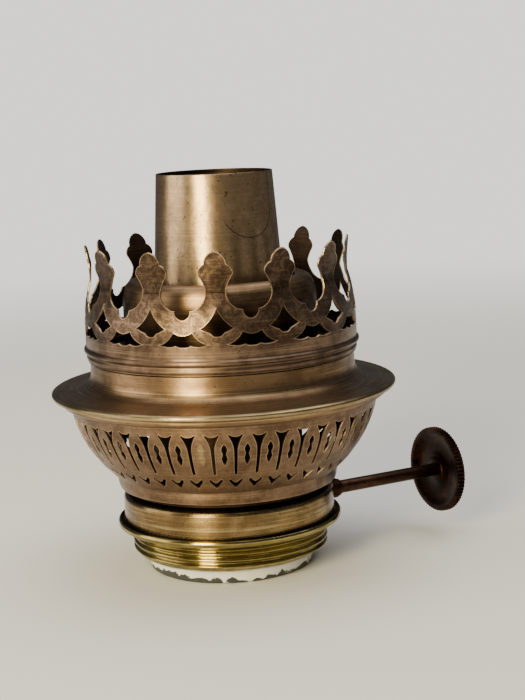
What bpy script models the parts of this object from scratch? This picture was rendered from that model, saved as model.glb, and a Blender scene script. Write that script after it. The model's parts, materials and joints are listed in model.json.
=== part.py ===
"""Round-wick oil lamp burner: threaded collar, wick winder, wick tube, pierced air basket and coronet gallery.

Metres, +Z up. The origin is the middle of the burner's lower end and the winder spindle points along +X.
"""
import math

import bmesh
import bpy
from mathutils import Matrix

MM = 0.001
COLLECTION = "round_wick_lamp_burner"

# Driving dimensions
SHEET = 0.4 * MM
GAP = 0.3 * MM
MERGE = 0.01 * MM
ROUND_STEPS = 32

TUBE_TOP_Z = 79.9 * MM
TUBE_TOP_R = 11.6 * MM
TUBE_SLOPE = 0.0613
TUBE_WALL = 0.35 * MM
TUBE_FOOT_TOP = 3.1 * MM

WICK_CLEARANCE = 0.8 * MM
WICK_THICKNESS = 1.9 * MM
WICK_WIDTH = 62.0 * MM
WICK_BOTTOM = 3.0 * MM
WICK_TOP = 71.5 * MM
AIR_TUBE_CLEARANCE = 0.25 * MM
AIR_TUBE_BOTTOM = 22.5 * MM

WINDOW_HALF_WIDTH = 5.6 * MM
WINDOW_LOW = 23.6 * MM
WINDOW_HIGH = 33.0 * MM

THREAD_CREST = 20.0 * MM
THREAD_DEPTH = 0.5 * MM
THREAD_PITCH = 1.3 * MM
THREAD_TOP = 7.4 * MM
THREAD_TURNS = 3

SPINDLE_Y = -7.5 * MM
SPINDLE_Z = 13.3 * MM
SPINDLE_R = 1.35 * MM
SPINDLE_INNER_END = -7.0 * MM
BUSH_R = 2.05 * MM
BUSH_BORE = SPINDLE_R + 0.15 * MM
WHEEL_TIP_R = 4.2 * MM
WHEEL_ROOT_R = 3.1 * MM
WHEEL_SPIKES = 12
WHEEL_THICKNESS = 0.9 * MM
WHEEL_X = 2.6 * MM
KNOB_X = 46.9 * MM
KNOB_R = 9.1 * MM
KNOB_THICKNESS = 1.7 * MM
KNURL_COUNT = 72

HOUSING_R = 21.5 * MM
HOUSING_NECK_R = 19.4 * MM
HOUSING_TOP_Z = 20.0 * MM

BASKET_LOBES = 43
BASKET_TURN = math.radians(-1.1)
BLIND_LOBE = 28
CROWN_PETALS = 13
CROWN_TURN = math.radians(-8.1)
CROWN_R = 27.3 * MM
FLANGE_R = 34.8 * MM
CAP_R = 19.5 * MM
SEAT_Z = 44.1 * MM

BRASS_BROWN = (0.42, 0.25, 0.13)
BRASS_YELLOW = (0.62, 0.47, 0.16)
BRONZE_DARK = (0.12, 0.055, 0.03)
FOOT_WHITE = (0.75, 0.74, 0.70)
COTTON = (0.78, 0.73, 0.62)


def clear_scene():
    for item in list(bpy.data.objects):
        bpy.data.objects.remove(item, do_unlink=True)


def new_collection(name):
    group = bpy.data.collections.new(name)
    bpy.context.scene.collection.children.link(group)
    return group


def new_material(name, colour, roughness, metallic):
    material = bpy.data.materials.new(name)
    material.use_nodes = True
    shader = material.node_tree.nodes["Principled BSDF"]
    shader.inputs["Base Color"].default_value = (*colour, 1.0)
    shader.inputs["Roughness"].default_value = roughness
    shader.inputs["Metallic"].default_value = metallic
    return material


def add_object(name, mesh, group, finish):
    """Link a mesh as a named part; finish is (colour, roughness, metallic)."""
    item = bpy.data.objects.new(name, mesh)
    group.objects.link(item)
    if finish:
        mesh.materials.append(new_material(name, *finish))
    return item


def shade_round(mesh):
    mesh.shade_smooth()
    mesh.set_sharp_from_angle(angle=math.radians(35))


def mesh_from_bmesh(name, bm):
    mesh = bpy.data.meshes.new(name)
    bm.to_mesh(mesh)
    bm.free()
    shade_round(mesh)
    return mesh


def arc(centre, radius, start, end, steps):
    """Points along a circular arc, angles in degrees."""
    points = []
    for index in range(steps + 1):
        angle = math.radians(start + (end - start) * index / steps)
        points.append((centre[0] + radius * math.cos(angle), centre[1] + radius * math.sin(angle)))
    return points


def millimetres(points):
    return [(x * MM, y * MM) for x, y in points]


def add_screw(item, steps):
    turn = item.modifiers.new("turn", "SCREW")
    turn.axis = "Z"
    turn.angle = 2 * math.pi
    turn.steps = steps
    turn.render_steps = steps
    turn.use_merge_vertices = True
    turn.merge_threshold = MERGE


def add_solidify(item, thickness):
    wall = item.modifiers.new("wall", "SOLIDIFY")
    wall.thickness = thickness
    wall.offset = -1
    wall.use_even_offset = True


def profile_mesh(name, points, closed):
    bm = bmesh.new()
    corners = [bm.verts.new((radius, 0, height)) for radius, height in points]
    for first, second in zip(corners, corners[1:]):
        bm.edges.new((first, second))
    if closed:
        bm.edges.new((corners[-1], corners[0]))
    return mesh_from_bmesh(name, bm)


def turned_solid(name, points, group, finish, steps=ROUND_STEPS):
    """A closed section turned about the local Z axis, running down its outer side."""
    item = add_object(name, profile_mesh(name, points, True), group, finish)
    add_screw(item, steps)
    return item


def turned_shell(name, points, group, finish, thickness=SHEET, steps=ROUND_STEPS):
    """Sheet metal spun to the outer line given from top to bottom; the wall grows inwards."""
    item = add_object(name, profile_mesh(name, points, False), group, finish)
    add_screw(item, steps)
    add_solidify(item, thickness)
    return item


def turned_cap(name, points, group, finish, steps):
    """A solid turned from a line that starts and ends on the axis."""
    item = add_object(name, profile_mesh(name, points, False), group, finish)
    add_screw(item, steps)
    return item


def lay_along_x(item, x):
    """Put a piece on the winder's axis, with its local Z along +X."""
    item.location = (x, SPINDLE_Y, SPINDLE_Z)
    item.rotation_euler = (0, math.pi / 2, 0)


def flat_curve(name, outlines, half_thickness):
    curve = bpy.data.curves.new(name, "CURVE")
    curve.dimensions = "2D"
    curve.fill_mode = "BOTH"
    curve.extrude = half_thickness
    for outline in outlines:
        spline = curve.splines.new("POLY")
        spline.points.add(len(outline) - 1)
        for point, (x, y) in zip(spline.points, outline):
            point.co = (x, y, 0, 1)
        spline.use_cyclic_u = True
    return curve


def mesh_from_curve(name, curve):
    """The evaluated curve as a welded mesh."""
    source = bpy.data.objects.new(name, curve)
    bpy.context.scene.collection.objects.link(source)
    graph = bpy.context.evaluated_depsgraph_get()
    mesh = bpy.data.meshes.new_from_object(source.evaluated_get(graph))
    bpy.data.objects.remove(source, do_unlink=True)
    bm = bmesh.new()
    bm.from_mesh(mesh)
    bmesh.ops.remove_doubles(bm, verts=bm.verts, dist=MERGE / 10)
    bm.to_mesh(mesh)
    bm.free()
    mesh.name = name
    return mesh


def flat_plate(name, outlines, thickness, group, finish):
    mesh = mesh_from_curve(name, flat_curve(name, outlines, thickness / 2))
    mesh.materials.clear()
    return add_object(name, mesh, group, finish)


def box_mesh(name, low, high):
    bm = bmesh.new()
    bmesh.ops.create_cube(bm, size=1)
    size = [b - a for a, b in zip(low, high)]
    middle = [(a + b) / 2 for a, b in zip(low, high)]
    bmesh.ops.scale(bm, vec=size, verts=bm.verts)
    bmesh.ops.translate(bm, vec=middle, verts=bm.verts)
    return mesh_from_bmesh(name, bm)


def rod_mesh(name, radius, low_x, high_x, segments=16):
    """A plain round bar on the winder's axis, from low_x to high_x."""
    bm = bmesh.new()
    bmesh.ops.create_cone(bm, cap_ends=True, segments=segments, radius1=radius, radius2=radius,
                          depth=high_x - low_x)
    turn = Matrix.Rotation(math.pi / 2, 4, "Y")
    place = Matrix.Translation(((low_x + high_x) / 2, SPINDLE_Y, SPINDLE_Z))
    bmesh.ops.transform(bm, matrix=place @ turn, verts=bm.verts)
    return mesh_from_bmesh(name, bm)


def cut(item, mesh, cutters):
    """Subtract a mesh, kept as a hidden wire object, from a part."""
    cutter = add_object(mesh.name, mesh, cutters, None)
    cutter.hide_render = True
    cutter.display_type = "WIRE"
    hole = item.modifiers.new(mesh.name, "BOOLEAN")
    hole.operation = "DIFFERENCE"
    hole.solver = "EXACT"
    hole.object = cutter


class SheetProfile:
    """A bent sheet's side view: distance along the sheet gives radius and height."""

    def __init__(self, points):
        self.points = points
        self.lengths = [0.0]
        for (r0, z0), (r1, z1) in zip(points, points[1:]):
            self.lengths.append(self.lengths[-1] + math.hypot(r1 - r0, z1 - z0))

    def at(self, distance):
        for index in range(1, len(self.lengths)):
            if distance <= self.lengths[index] or index == len(self.lengths) - 1:
                start = self.lengths[index - 1]
                part = (distance - start) / (self.lengths[index] - start)
                (r0, z0), (r1, z1) = self.points[index - 1], self.points[index]
                return r0 + (r1 - r0) * part, z0 + (z1 - z0) * part


def pierced_cell(name, outlines, cross_cuts, upright_cuts):
    """One flat repeat of a pierced strip: X is an angle in radians, Y the distance along the sheet."""
    mesh = mesh_from_curve(name, flat_curve(name, outlines, 0))
    bm = bmesh.new()
    bm.from_mesh(mesh)
    bpy.data.meshes.remove(mesh)
    bmesh.ops.dissolve_limit(bm, angle_limit=0.01, verts=bm.verts, edges=bm.edges)
    planes = [((0, height, 0), (0, 1, 0)) for height in cross_cuts]
    planes += [((across, 0, 0), (1, 0, 0)) for across in upright_cuts]
    for point, normal in planes:
        everything = bm.verts[:] + bm.edges[:] + bm.faces[:]
        bmesh.ops.bisect_plane(bm, geom=everything, dist=MERGE / 10, plane_co=point, plane_no=normal)
    bmesh.ops.triangulate(bm, faces=bm.faces)
    down = [face for face in bm.faces if face.normal.z < 0]
    bmesh.ops.reverse_faces(bm, faces=down)
    cell = bpy.data.meshes.new(name)
    bm.to_mesh(cell)
    bm.free()
    return cell


def pierced_band(name, cells, turn, profile, group, finish):
    """Repeat flat cells round a full turn, bend them to the profile and give them the sheet's thickness."""
    pitch = 2 * math.pi / len(cells)
    bm = bmesh.new()
    for index, cell in enumerate(cells):
        before = len(bm.verts)
        bm.from_mesh(cell)
        bm.verts.ensure_lookup_table()
        for vertex in bm.verts[before:]:
            vertex.co.x += index * pitch
    for vertex in bm.verts:
        angle = vertex.co.x + turn
        radius, height = profile.at(vertex.co.y)
        vertex.co = (radius * math.cos(angle), radius * math.sin(angle), height)
    bmesh.ops.remove_doubles(bm, verts=bm.verts, dist=MERGE)
    for cell in set(cells):
        bpy.data.meshes.remove(cell)
    item = add_object(name, mesh_from_bmesh(name, bm), group, finish)
    add_solidify(item, SHEET)
    return item


def mirrored(right_half):
    """A whole closed outline from its right half, both halves running from bottom to top."""
    left_half = [(-x, y) for x, y in reversed(right_half)]
    return right_half + left_half


# Wick tube, inner air tube and the wick between them

def tube_radius(height):
    """Outer radius of the conical wick tube."""
    return TUBE_TOP_R + TUBE_SLOPE * (TUBE_TOP_Z - height)


def wick_outer_radius(height):
    return tube_radius(height) - TUBE_WALL - WICK_CLEARANCE


def air_tube_radius(height):
    return wick_outer_radius(height) - WICK_THICKNESS - AIR_TUBE_CLEARANCE


def window_cutter(name):
    return box_mesh(name, (5 * MM, -WINDOW_HALF_WIDTH, WINDOW_LOW), (18 * MM, WINDOW_HALF_WIDTH, WINDOW_HIGH))


def build_wick_tube(parts, cutters):
    low = TUBE_FOOT_TOP + GAP
    line = [(TUBE_TOP_R, TUBE_TOP_Z), (tube_radius(low), low)]
    tube = turned_shell("outer_wick_tube", line, parts, (BRASS_BROWN, 0.35, 1.0), TUBE_WALL)
    cut(tube, window_cutter("tube_window_cut"), cutters)
    cut(tube, rod_mesh("tube_spindle_cut", SPINDLE_R + GAP, 5 * MM, 19 * MM), cutters)


def build_air_tube(parts, cutters):
    top = TUBE_TOP_Z - 0.7 * MM
    line = [(air_tube_radius(top), top), (air_tube_radius(AIR_TUBE_BOTTOM), AIR_TUBE_BOTTOM)]
    tube = turned_shell("inner_air_tube", line, parts, (BRASS_BROWN, 0.5, 1.0), TUBE_WALL)
    cut(tube, window_cutter("air_tube_window_cut"), cutters)


def build_air_tube_floor(parts):
    rim = air_tube_radius(AIR_TUBE_BOTTOM) - TUBE_WALL - GAP
    bottom = AIR_TUBE_BOTTOM + 0.1 * MM
    top = bottom + SHEET
    line = [(0.0, top), (rim, top), (rim, bottom), (0.0, bottom)]
    turned_cap("air_tube_floor", line, parts, (BRASS_BROWN, 0.5, 1.0), ROUND_STEPS)


def build_air_duct(parts, cutters):
    inner_end = 9.3 * MM
    outer_end = 14.9 * MM
    half = WINDOW_HALF_WIDTH - GAP
    low = WINDOW_LOW + GAP
    high = WINDOW_HIGH - GAP
    mesh = box_mesh("air_duct", (inner_end, -half, low), (outer_end, half, high))
    duct = add_object("air_duct", mesh, parts, (BRASS_BROWN, 0.5, 1.0))
    overrun = 1 * MM
    inside = box_mesh("duct_inside_cut", (inner_end - overrun, -half + SHEET, low + SHEET),
                      (outer_end + overrun, half - SHEET, high - SHEET))
    cut(duct, inside, cutters)


def build_wick(parts):
    """A flat wick rolled to a sleeve; its two edges face the spindle and part below."""
    across = 26
    bm = bmesh.new()
    bmesh.ops.create_grid(bm, x_segments=across, y_segments=9, size=0.5)
    for vertex in bm.verts:
        height = WICK_BOTTOM + (vertex.co.y + 0.5) * (WICK_TOP - WICK_BOTTOM)
        radius = wick_outer_radius(height)
        angle = math.pi + vertex.co.x * WICK_WIDTH / (radius - WICK_THICKNESS / 2)
        vertex.co = (radius * math.cos(angle), radius * math.sin(angle), height)
    item = add_object("wick", mesh_from_bmesh("wick", bm), parts, (COTTON, 0.9, 0.0))
    add_solidify(item, WICK_THICKNESS)


# Collar, foot and winder housing

def build_collar(parts):
    lip = millimetres([(22.5, 10.4), (22.85, 10.1), (22.9, 9.6), (22.4, 8.9), (21.2, 8.2)])
    thread = []
    for turn in range(THREAD_TURNS):
        top = THREAD_TOP - turn * THREAD_PITCH
        thread.append((THREAD_CREST - THREAD_DEPTH, top))
        thread.append((THREAD_CREST, top - THREAD_PITCH / 2))
    run_out = millimetres([(19.2, 3.5), (18.6, 3.0), (17.9, 2.75), (17.3, 2.75)])
    turned_shell("base_collar", lip + thread + run_out, parts, (BRASS_YELLOW, 0.28, 1.0))


def build_foot(parts):
    line = [(16.95 * MM, TUBE_FOOT_TOP), (16.75 * MM, 0.5 * MM), (16.6 * MM, 0.0)]
    wall = 0.7 * MM
    section = line + [(line[-1][0] - wall, 0.0), (line[-1][0] - wall, TUBE_FOOT_TOP)]
    turned_solid("tube_foot", section, parts, (FOOT_WHITE, 0.6, 0.0))


def build_housing(parts, cutters):
    top_inner = tube_radius(HOUSING_TOP_Z) + 0.45 * MM
    line = [(top_inner, HOUSING_TOP_Z), (18.7 * MM, HOUSING_TOP_Z), (HOUSING_NECK_R, 19.4 * MM),
            (HOUSING_NECK_R, 16.5 * MM), (19.8 * MM, 16.0 * MM), (20.7 * MM, 15.75 * MM),
            (21.3 * MM, 15.2 * MM), (HOUSING_R, 14.5 * MM), (HOUSING_R, 9.0 * MM)]
    housing = turned_shell("raiser_housing", line, parts, (BRASS_BROWN, 0.3, 1.0))
    cut(housing, rod_mesh("housing_bush_cut", BUSH_R + GAP, 16 * MM, 24 * MM, 24), cutters)


def build_bush(parts):
    length = 3.8 * MM
    head_r = BUSH_R + 0.25 * MM
    head_start = 3.1 * MM
    section = [(BUSH_BORE, length), (head_r, length), (head_r, head_start), (BUSH_R, head_start),
               (BUSH_R, 0.0), (BUSH_BORE, 0.0)]
    bush = turned_solid("spindle_bush", section, parts, (BRASS_BROWN, 0.4, 1.0), 20)
    lay_along_x(bush, 18.0 * MM)


def build_bracket(parts, cutters):
    """A strap soldered under the air tube's floor; its two cheeks carry the spindle."""
    cheek = 5.2 * MM
    top = AIR_TUBE_BOTTOM - GAP
    low = 11.0 * MM
    near = SPINDLE_Y - 2.0 * MM
    width = 4.0 * MM
    bm = bmesh.new()
    corners = [(-cheek, low), (-cheek, top), (cheek, top), (cheek, low)]
    edges = []
    line = [bm.verts.new((x, near, z)) for x, z in corners]
    for first, second in zip(line, line[1:]):
        edges.append(bm.edges.new((first, second)))
    swept = bmesh.ops.extrude_edge_only(bm, edges=edges)
    moved = [part for part in swept["geom"] if isinstance(part, bmesh.types.BMVert)]
    bmesh.ops.translate(bm, vec=(0, width, 0), verts=moved)
    bmesh.ops.recalc_face_normals(bm, faces=bm.faces)
    bm.faces.ensure_lookup_table()
    if max(bm.faces, key=lambda face: face.calc_center_median().z).normal.z < 0:
        bmesh.ops.reverse_faces(bm, faces=bm.faces)
    strap = add_object("bearing_bracket", mesh_from_bmesh("bearing_bracket", bm), parts,
                       (BRASS_BROWN, 0.5, 1.0))
    add_solidify(strap, 0.5 * MM)
    cut(strap, rod_mesh("bracket_bore_cut", BUSH_BORE, -9 * MM, 9 * MM, 20), cutters)


# Winder: spindle, spiked wheels, stop collar and thumbwheel

def circle(radius, steps, centre=(0.0, 0.0)):
    return arc(centre, radius, 0, 360 * (steps - 1) / steps, steps - 1)


def toothed_outline(root_r, tip_r, count, tip_share):
    """Straight-sided teeth; tip_share is the part of the pitch that the tip takes."""
    outline = []
    pitch = 2 * math.pi / count
    for index in range(count):
        middle = index * pitch
        for offset, radius in ((-0.5 + tip_share / 2, root_r), (-tip_share / 2, tip_r), (tip_share / 2, tip_r)):
            angle = middle + offset * pitch
            outline.append((radius * math.cos(angle), radius * math.sin(angle)))
    return outline


def rod_line(length):
    """Side view of the spindle with its two chamfered ends."""
    chamfer = 0.2 * MM
    return [(0.0, length), (SPINDLE_R - chamfer, length), (SPINDLE_R, length - chamfer),
            (SPINDLE_R, chamfer), (SPINDLE_R - chamfer, 0.0), (0.0, 0.0)]


def build_winder(parts):
    bore = circle(SPINDLE_R + GAP, 16)
    finish = (BRONZE_DARK, 0.45, 1.0)
    end = KNOB_X + KNOB_THICKNESS / 2 + 0.2 * MM
    rod = rod_line(end - SPINDLE_INNER_END)
    lay_along_x(turned_cap("winder_spindle", rod, parts, (BRONZE_DARK, 0.5, 1.0), 16), SPINDLE_INNER_END)
    spikes = toothed_outline(WHEEL_ROOT_R, WHEEL_TIP_R, WHEEL_SPIKES, 0.12)
    for name, x in (("wick_wheel_inner", -WHEEL_X), ("wick_wheel_outer", WHEEL_X)):
        wheel = flat_plate(name, [spikes, bore], WHEEL_THICKNESS, parts, (BRASS_YELLOW, 0.4, 1.0))
        lay_along_x(wheel, x)
    collar_length = 1.2 * MM
    collar_r = 2.3 * MM
    inner = SPINDLE_R + GAP
    section = [(inner, collar_length), (collar_r, collar_length), (collar_r, 0.0), (inner, 0.0)]
    lay_along_x(turned_solid("spindle_stop_collar", section, parts, finish, 16), 16.4 * MM)
    knurl = toothed_outline(KNOB_R - 0.35 * MM, KNOB_R, KNURL_COUNT, 0.45)
    lay_along_x(flat_plate("thumbwheel", [knurl, bore], KNOB_THICKNESS, parts, finish), KNOB_X)
    head_r = 2.4 * MM
    head_height = 0.9 * MM
    dome = [(0.0, head_height), (head_r * 0.55, head_height * 0.85), (head_r, 0.0), (0.0, 0.0)]
    lay_along_x(turned_cap("spindle_rivet_head", dome, parts, finish, 16), end + GAP)


# Lift-off gallery: air basket, flange, crown, draught cap and chimney seat

BASKET_PROFILE = SheetProfile(millimetres([
    (22.1, 17.4), (22.7, 19.7), (24.9, 21.7), (27.6, 25.3), (29.8, 30.3), (31.25, 35.1)]))

CROWN_PROFILE = SheetProfile(millimetres([
    (27.15, 43.4), (27.15, 45.0), (27.95, 45.7), (27.3, 46.5), (27.3, 52.0), (25.8, 59.6), (27.0, 67.3)]))


def basket_cell(with_hourglass):
    """One lobe of the basket, from the middle of a slot to the middle of the next; degrees and millimetres."""
    half = 180 / BASKET_LOBES
    top = BASKET_PROFILE.lengths[-1] / MM
    chevron = [(0.0, 4.9), (2.6, 7.0), (2.1, 7.3), (0.0, 6.15)]
    slot = [(0.0, 9.0), (0.6, 9.0), (0.75, 15.4), (2.6, 18.2), (0.0, 17.85)]
    edge = [(0.0, 0.0)] + chevron + slot + [(0.0, top)]
    outline = mirrored([(half - across, along) for across, along in edge])
    outlines = [outline]
    if with_hourglass:
        right = [(0.0, 11.5), (1.1, 13.1), (0.6, 14.0), (1.1, 15.1), (0.0, 16.3)]
        outlines.append(right + [(-x, y) for x, y in reversed(right[1:-1])])
    return [[(math.radians(x), y * MM) for x, y in points] for points in outlines]


def build_basket(parts):
    knots = BASKET_PROFILE.lengths[1:-1]
    whole = pierced_cell("basket_lobe", basket_cell(True), knots, ())
    blind = pierced_cell("basket_blind_lobe", basket_cell(False), knots, ())
    cells = [blind if index == BLIND_LOBE else whole for index in range(BASKET_LOBES)]
    pierced_band("air_basket", cells, BASKET_TURN, BASKET_PROFILE, parts, (BRASS_BROWN, 0.4, 1.0))


def crown_cell():
    """One petal, from the middle of a notch to the middle of the next; arc lengths in millimetres."""
    half = math.pi * CROWN_R / CROWN_PETALS / MM
    bat_wing = [(0.0, 6.3), (1.45, 6.6), (2.7, 6.3), (4.7, 6.7), (2.6, 7.7), (1.85, 9.1), (0.0, 8.5)]
    notch = arc((0.0, 12.9), 1.6, -90, 0, 2)
    scallop = [(3.2, 13.7), (4.2, 14.8), (4.65, 16.6)]
    edge = [(0.0, 0.0)] + bat_wing + notch + scallop
    head = [(3.35, 19.9), (3.0, 21.0), (1.95, 21.7), (1.5, 23.3), (0.0, 24.1)]
    right = [(half - across, along) for across, along in edge] + head
    outline = right + [(-x, y) for x, y in reversed(right[:-1])]
    diamond_right = [(0.0, 8.2), (1.1, 8.9), (3.15, 9.6), (1.4, 11.2), (0.0, 13.4)]
    diamond = diamond_right + [(-x, y) for x, y in reversed(diamond_right[1:-1])]
    return [[(x * MM / CROWN_R, y * MM) for x, y in points] for points in (outline, diamond)]


def build_crown(parts):
    pitch = 2 * math.pi / CROWN_PETALS
    uprights = (-pitch / 4, pitch / 4)
    cell = pierced_cell("crown_petal", crown_cell(), CROWN_PROFILE.lengths[1:-1], uprights)
    pierced_band("crown_gallery", [cell] * CROWN_PETALS, CROWN_TURN, CROWN_PROFILE, parts,
                 (BRASS_BROWN, 0.4, 1.0))


def build_flange(parts):
    neck = millimetres([(26.6, 43.1), (26.7, 41.0), (27.1, 39.5), (28.2, 38.4), (30.2, 37.9), (34.0, 37.5)])
    rim = millimetres([(34.55, 37.3), (34.8, 36.85), (34.55, 36.4), (34.0, 36.2)])
    skirt = millimetres([(33.2, 36.1), (32.9, 35.4), (32.2, 34.9), (31.9, 34.6)])
    turned_shell("gallery_flange", neck + rim + skirt, parts, (BRASS_BROWN, 0.35, 1.0))


def build_draught_cap(parts):
    line = millimetres([(17.0, 59.2), (17.9, 59.0), (18.8, 58.0), (19.3, 56.6)])
    line += [(CAP_R, 55.0 * MM), (CAP_R, 42.0 * MM)]
    turned_shell("draught_cap", line, parts, (BRASS_BROWN, 0.4, 1.0))


def build_chimney_seat(parts):
    hole_ring = 23.0 * MM
    hole_r = 1.7 * MM
    hole_count = 20
    outlines = [circle(26.35 * MM, 60), circle(CAP_R + GAP, 40)]
    for index in range(hole_count):
        angle = 2 * math.pi * index / hole_count
        outlines.append(circle(hole_r, 8, (hole_ring * math.cos(angle), hole_ring * math.sin(angle))))
    thickness = 0.5 * MM
    plate = flat_plate("chimney_seat", outlines, thickness, parts, (BRASS_BROWN, 0.5, 1.0))
    plate.location = (0, 0, SEAT_Z - thickness / 2)


def build_seat_ring(parts):
    """The sleeve that slides over the housing's neck and carries the basket."""
    bore = HOUSING_NECK_R + GAP
    section = [(21.6 * MM, 19.1 * MM), (21.6 * MM, 18.6 * MM), (20.2 * MM, 18.6 * MM),
               (20.2 * MM, 16.4 * MM), (bore, 16.4 * MM), (bore, 19.1 * MM)]
    turned_solid("basket_seat_ring", section, parts, (BRASS_BROWN, 0.5, 1.0))


def main():
    clear_scene()
    parts = new_collection(COLLECTION)
    cutters = new_collection("cutters")
    build_collar(parts)
    build_foot(parts)
    build_housing(parts, cutters)
    build_bush(parts)
    build_wick_tube(parts, cutters)
    build_air_tube(parts, cutters)
    build_air_tube_floor(parts)
    build_air_duct(parts, cutters)
    build_bracket(parts, cutters)
    build_winder(parts)
    build_wick(parts)
    build_basket(parts)
    build_flange(parts)
    build_crown(parts)
    build_draught_cap(parts)
    build_chimney_seat(parts)
    build_seat_ring(parts)


main()
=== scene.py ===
"""Looks of a round-wick oil lamp burner in old brass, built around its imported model. Metres, +Z up."""
import json
import math

import bmesh
import bpy
from mathutils import Matrix, Vector


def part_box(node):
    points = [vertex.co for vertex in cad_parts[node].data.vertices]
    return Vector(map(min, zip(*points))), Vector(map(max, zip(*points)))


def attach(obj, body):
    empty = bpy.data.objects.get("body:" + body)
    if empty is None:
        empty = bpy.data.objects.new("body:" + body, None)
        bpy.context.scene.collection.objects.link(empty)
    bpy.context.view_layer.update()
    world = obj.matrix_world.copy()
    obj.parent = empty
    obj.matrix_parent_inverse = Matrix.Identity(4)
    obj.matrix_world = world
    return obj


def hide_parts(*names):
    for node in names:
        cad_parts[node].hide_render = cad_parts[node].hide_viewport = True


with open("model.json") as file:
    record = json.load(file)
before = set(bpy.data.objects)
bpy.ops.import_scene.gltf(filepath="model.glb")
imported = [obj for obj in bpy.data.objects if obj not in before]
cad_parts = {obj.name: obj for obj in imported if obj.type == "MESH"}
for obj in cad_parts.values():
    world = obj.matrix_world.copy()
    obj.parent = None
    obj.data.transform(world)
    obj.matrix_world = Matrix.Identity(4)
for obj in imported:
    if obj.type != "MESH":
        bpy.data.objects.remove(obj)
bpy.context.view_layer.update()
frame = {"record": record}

MM = 0.001
TURN_STEPS = 160
MERGE = 0.01 * MM
FINE_MERGE = 0.002 * MM
CUT_MERGE = 0.0005 * MM
SHARP_ANGLE = math.radians(50)

# Sheets and their edges, in metres
SHEET = 0.4 * MM
PIERCED_SHEET = 0.3 * MM
STRAP_SHEET = 0.5 * MM
SOFT_EDGE = 0.08 * MM
FINE_EDGE = 0.06 * MM
PIERCED_EDGE = 0.04 * MM
PIERCED_EDGE_ANGLE = math.radians(60)
EDGE_LIP = 0.12 * MM
EDGE_LIFT = 0.03 * MM

# Tube, wick and spindle, in millimetres
TUBE_TOP_RADIUS = 11.6
TUBE_SLOPE = 0.0613
TUBE_WALL = 0.35
WICK_CLEARANCE = 0.8
WICK_THICKNESS = 1.9
WICK_WIDTH = 62.0
AIR_TUBE_CLEARANCE = 0.25
WINDOW_GAP = 0.3
SPINDLE_RADIUS = 1.35
SPINDLE_BORE = 1.4
THREAD_PITCH = 1.3
THREAD_TOP = 7.6
THREAD_RIDGE = 0.52
KNURL_COUNT = 72
WHEEL_SPIKES = 12

# Flat patterns of the gallery; a reference is the radius, in millimetres, at which a pattern closes
BASKET_LOBES = 43
BASKET_TURN = math.radians(-1.1)
BASKET_REFERENCE = 28.5
BASKET_DEGREE = BASKET_REFERENCE * math.pi / 180
BASKET_LOBE_AT = 1.336
BLIND_LOBE = 28
CROWN_PETALS = 13
CROWN_TURN = math.radians(-8.1)
CROWN_REFERENCE = 27.3
CROWN_SEAM_PETAL = 3
SEAT_HOLES = 20

# Camera; its lens in millimetres, its place in metres, its turns in degrees
CAMERA_LENS = 80.07
CAMERA_TURN = -27.3
CAMERA_DISTANCE = 0.3113
CAMERA_HEIGHT = 0.0946
CAMERA_YAW = 1.499
CAMERA_PITCH = 9.324
CAMERA_ROLL = 2.472


def joint(name):
    return next(item for item in frame["record"]["behaviour"]["joints"] if item["name"] == name)


def foot_of(node):
    """Lowest height of a node, in millimetres."""
    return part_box(node)[0][2] / MM


def top_of(node):
    """Highest height of a node, in millimetres."""
    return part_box(node)[1][2] / MM


def rim_of(node):
    """Outermost radius of a round node, in millimetres."""
    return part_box(node)[1][0] / MM


def spindle_span(node):
    """Where a node on the spindle starts, in metres, and how long it is, in millimetres."""
    low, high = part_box(node)
    return low[0], (high[0] - low[0]) / MM


SPINDLE = Vector(joint("winder_spin")["pos_m"])


# Lines and outlines, in millimetres

def bowed(stations, steps=6, closed=False):
    """Points through stations (x, y, bow); bow is how far the stretch that follows swings to its left."""
    points = []
    following = stations[1:] + (stations[:1] if closed else [])
    for (x0, y0, bow), (x1, y1, _) in zip(stations, following):
        start = Vector((x0, y0))
        end = Vector((x1, y1))
        points.append(start)
        if bow:
            half = (end - start).length / 2
            left = Vector((y0 - y1, x1 - x0)).normalized()
            radius = (half * half + bow * bow) / (2 * abs(bow))
            sign = math.copysign(1, bow)
            centre = (start + end) / 2 + left * (bow - sign * radius)
            sweep = 4 * math.atan(abs(bow) / half)
            for step in range(1, steps):
                turn = Matrix.Rotation(-sign * sweep * step / steps, 2)
                points.append(centre + turn @ (start - centre))
    if not closed:
        points.append(Vector(stations[-1][:2]))
    return points


def mirrored(right_half):
    """A closed outline from its right half, which starts and ends on the middle line."""
    return right_half + [Vector((-point.x, point.y)) for point in reversed(right_half[1:-1])]


def shifted(outline, x):
    return [Vector((point.x + x, point.y)) for point in outline]


def ring_outline(radius, steps, centre=(0.0, 0.0)):
    x, y = centre
    return bowed([(x + radius, y, -radius), (x - radius, y, -radius)], steps // 2, True)


# Mesh tools

def spin_line(line, steps=TURN_STEPS, closed=False):
    """Turn a line of (radius, height) points, in millimetres, all the way round the Z axis."""
    bm = bmesh.new()
    verts = [bm.verts.new((point[0] * MM, 0, point[1] * MM)) for point in line]
    edges = [bm.edges.new(pair) for pair in zip(verts, verts[1:])]
    if closed:
        edges.append(bm.edges.new((verts[-1], verts[0])))
    bmesh.ops.spin(bm, geom=verts + edges, cent=(0, 0, 0), axis=(0, 0, 1), angle=2 * math.pi,
                   steps=steps, use_merge=True)
    bmesh.ops.remove_doubles(bm, verts=bm.verts, dist=MERGE)
    bmesh.ops.recalc_face_normals(bm, faces=bm.faces)
    return bm


def point_outwards(bm):
    """Turn an open shell's faces so that they look away from the Z axis or up."""
    facing = 0.0
    for face in bm.faces:
        middle = face.calc_center_median()
        facing += face.calc_area() * face.normal.dot(Vector((middle.x, middle.y, 0)).normalized())
    if facing < 0:
        bmesh.ops.reverse_faces(bm, faces=bm.faces)


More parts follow.
